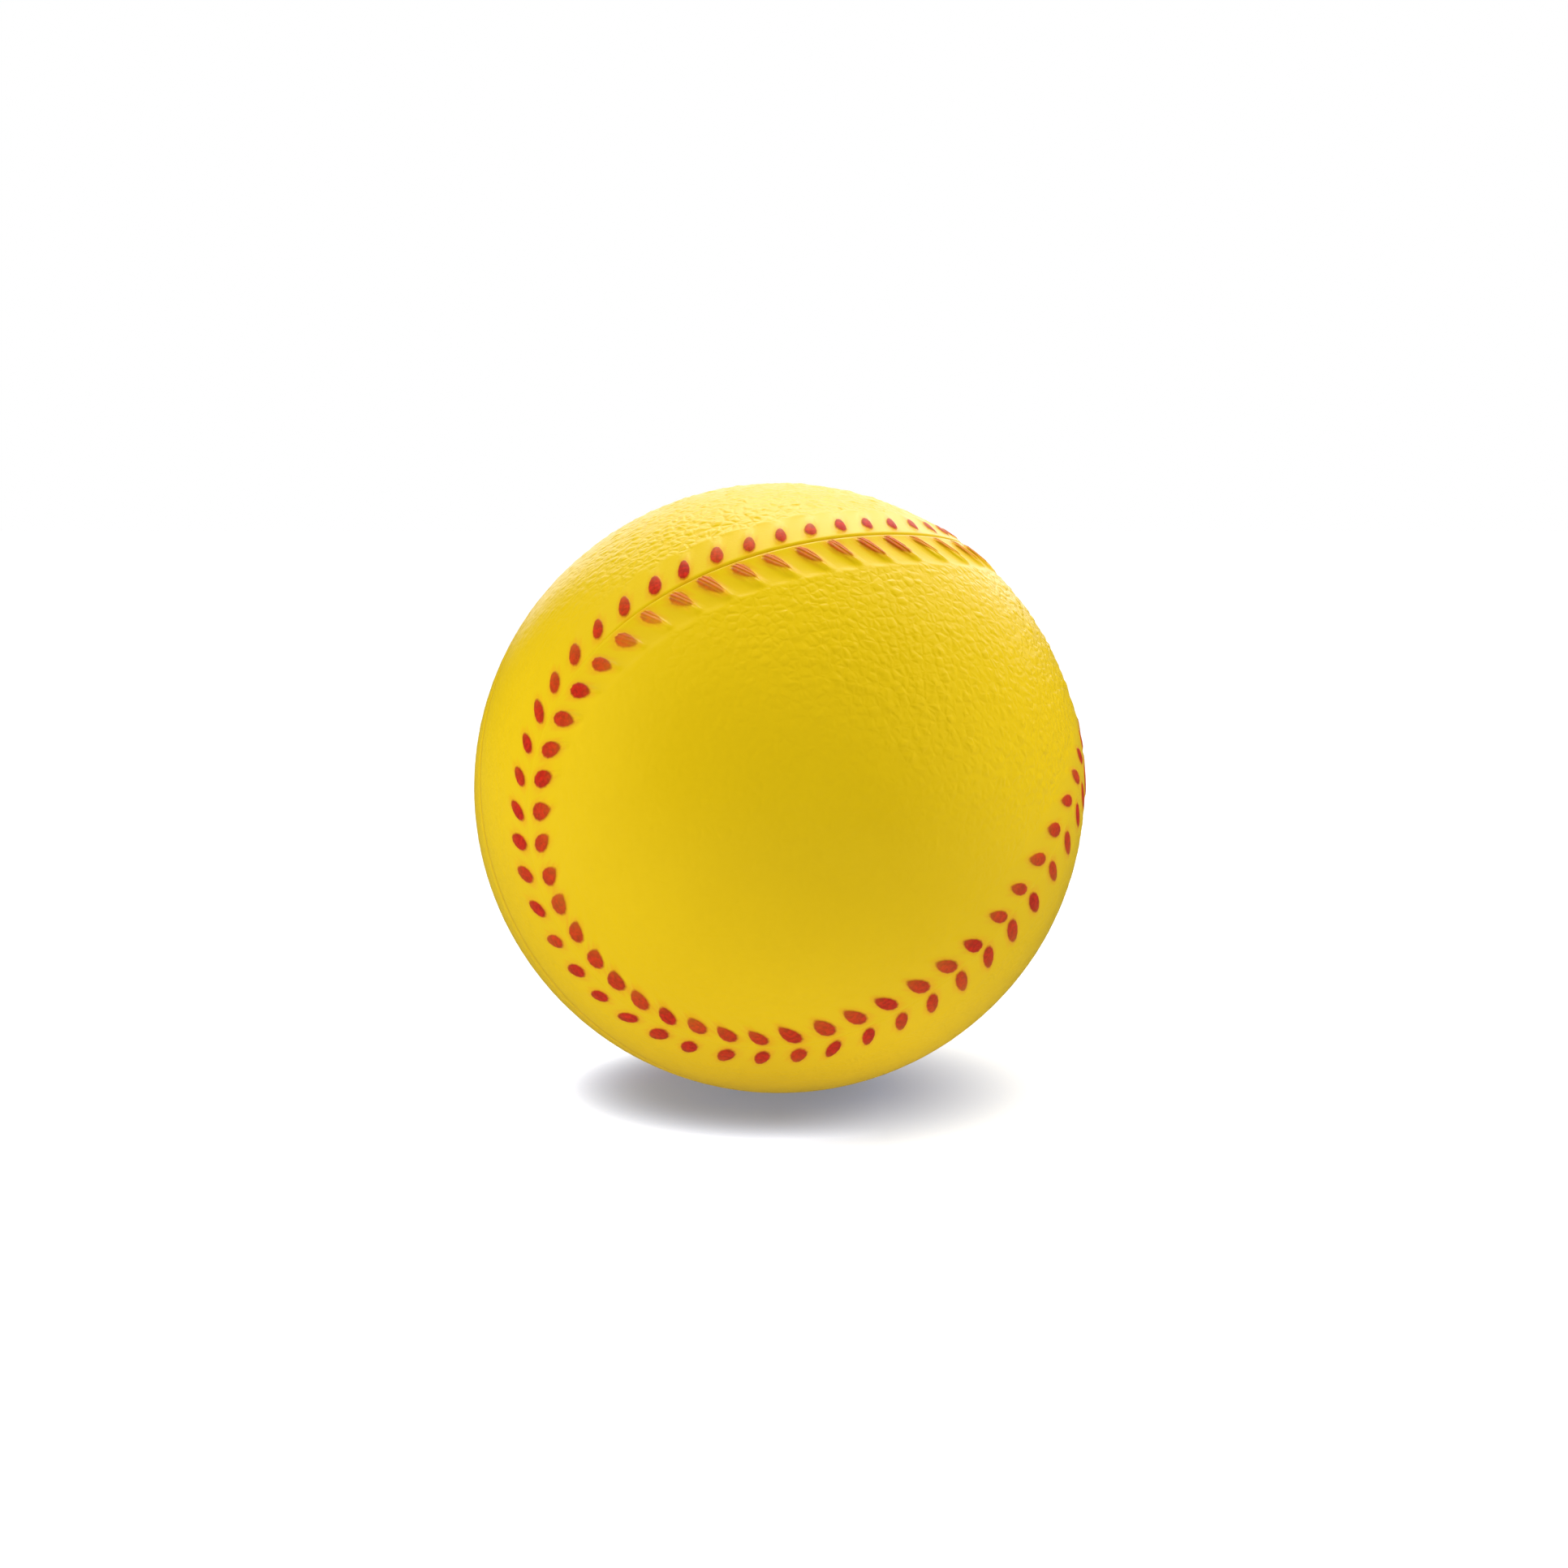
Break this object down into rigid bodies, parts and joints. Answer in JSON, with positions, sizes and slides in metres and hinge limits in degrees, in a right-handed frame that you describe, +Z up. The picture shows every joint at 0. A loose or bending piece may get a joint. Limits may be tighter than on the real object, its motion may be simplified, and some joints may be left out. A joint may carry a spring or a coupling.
{
  "type": "foam training baseball",
  "caption": "Soft yellow foam ball with a figure-eight baseball seam groove and slanted red stitch marks along both sides of it, for throwing and batting practice.",
  "frame": {"origin": "middle of the ball", "axes": "+Z up as the ball lies in the picture, -Y towards the camera, +X to the camera's right"},
  "size_m": [0.073, 0.073, 0.0729],
  "materials": {
    "foam": "open soft foam",
    "skin": "satin moulded skin with a fine pebble grain",
    "stitches": "satin red paint"
  },
  "bodies": {
    "root": {"foam_core": "foam", "front_panel": "skin", "back_panel": "skin", "front_stitches_1": "stitches", "front_stitches_2": "stitches", "front_stitches_3": "stitches", "front_stitches_4": "stitches", "back_stitches_1": "stitches", "back_stitches_2": "stitches", "back_stitches_3": "stitches", "back_stitches_4": "stitches"}
  },
  "joints": []
}
